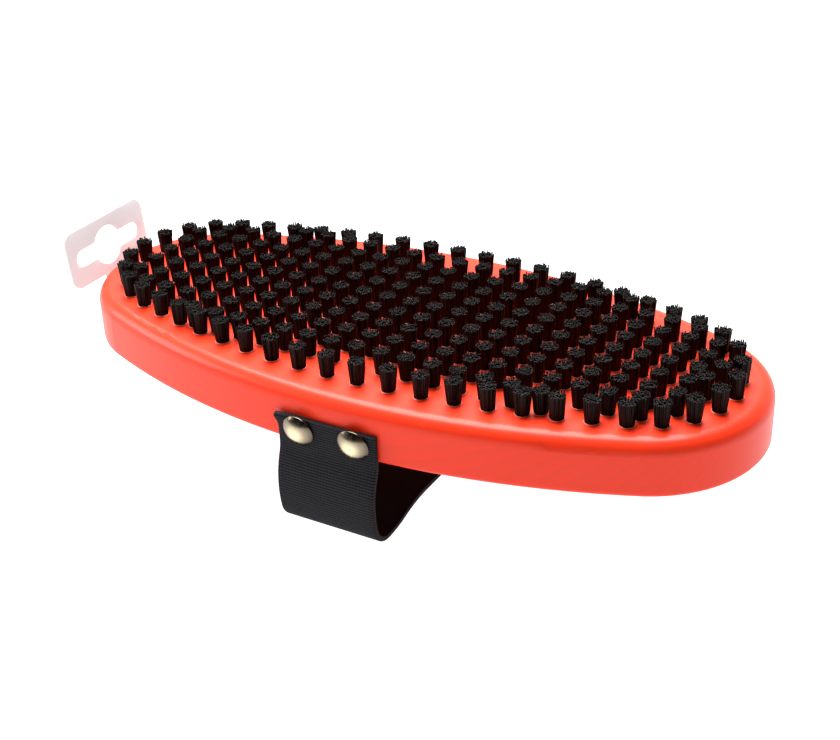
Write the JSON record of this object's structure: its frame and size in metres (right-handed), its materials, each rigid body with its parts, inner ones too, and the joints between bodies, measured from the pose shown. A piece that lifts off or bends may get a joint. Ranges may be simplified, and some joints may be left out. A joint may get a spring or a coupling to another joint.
{
  "type": "oval body brush with hand strap",
  "caption": "Oval grooming brush: lacquered wood board full of bristle tufts, an elastic hand strap nailed to both sides and a hang tab at one end.",
  "frame": {"origin": "centre of the board's flat back face, which lies against the palm", "axes": "+Z out of the bristle face, +X along the board away from the hang tab, +Y towards the far side"},
  "size_m": [0.2106, 0.1042, 0.0559],
  "materials": {
    "lacquered_wood": "semi-gloss red-orange lacquer on beech",
    "bristle": "black nylon filament",
    "anchor_wire": "flat drawn wire",
    "webbing": "woven elastic webbing",
    "cap_metal": "pale antique brass plate, polished",
    "steel_wire": "drawn steel",
    "frosted_plastic": "frosted translucent sheet"
  },
  "bodies": {
    "brush": {"board": "lacquered_wood", "tufts_ring_far": "bristle", "tufts_ring_near": "bristle", "tufts_tip_left": "bristle", "tufts_tip_right": "bristle", "tufts_row_1": "bristle", "tufts_row_2": "bristle", "tufts_row_3": "bristle", "tufts_row_4": "bristle", "tufts_row_5": "bristle", "tufts_row_6": "bristle", "tufts_row_7": "bristle", "tufts_row_8": "bristle", "tufts_row_9": "bristle", "tuft_anchors": "anchor_wire", "strap_end_near": "webbing", "strap_end_far": "webbing", "strap_side_near": "webbing", "strap_side_far": "webbing", "nail_cap_near_left": "cap_metal", "nail_cap_near_right": "cap_metal", "nail_cap_far_left": "cap_metal", "nail_cap_far_right": "cap_metal", "nail_shank_near_left": "steel_wire", "nail_shank_near_right": "steel_wire", "nail_shank_far_left": "steel_wire", "nail_shank_far_right": "steel_wire", "hang_tab_neck": "frosted_plastic", "tab_staple": "steel_wire"},
    "strap_loop": {"strap_palm": "webbing"},
    "tab_head": {"hang_tab_head": "frosted_plastic"}
  },
  "joints": [
    {"name": "strap_stretch", "type": "slide", "parent": "brush", "child": "strap_loop", "axis": [0, 0, 1], "range_m": [-0.015, 0.012], "stiffness_N_per_m": 1500, "deforming": ["strap_side_near", "strap_side_far"]},
    {"name": "tab_flex", "type": "hinge", "parent": "brush", "child": "tab_head", "pos_m": [-0.10435, 0, 0.0119], "axis": [0, 1, 0], "range_deg": [-60, 12], "stiffness_Nm_per_rad": 0.004}
  ]
}
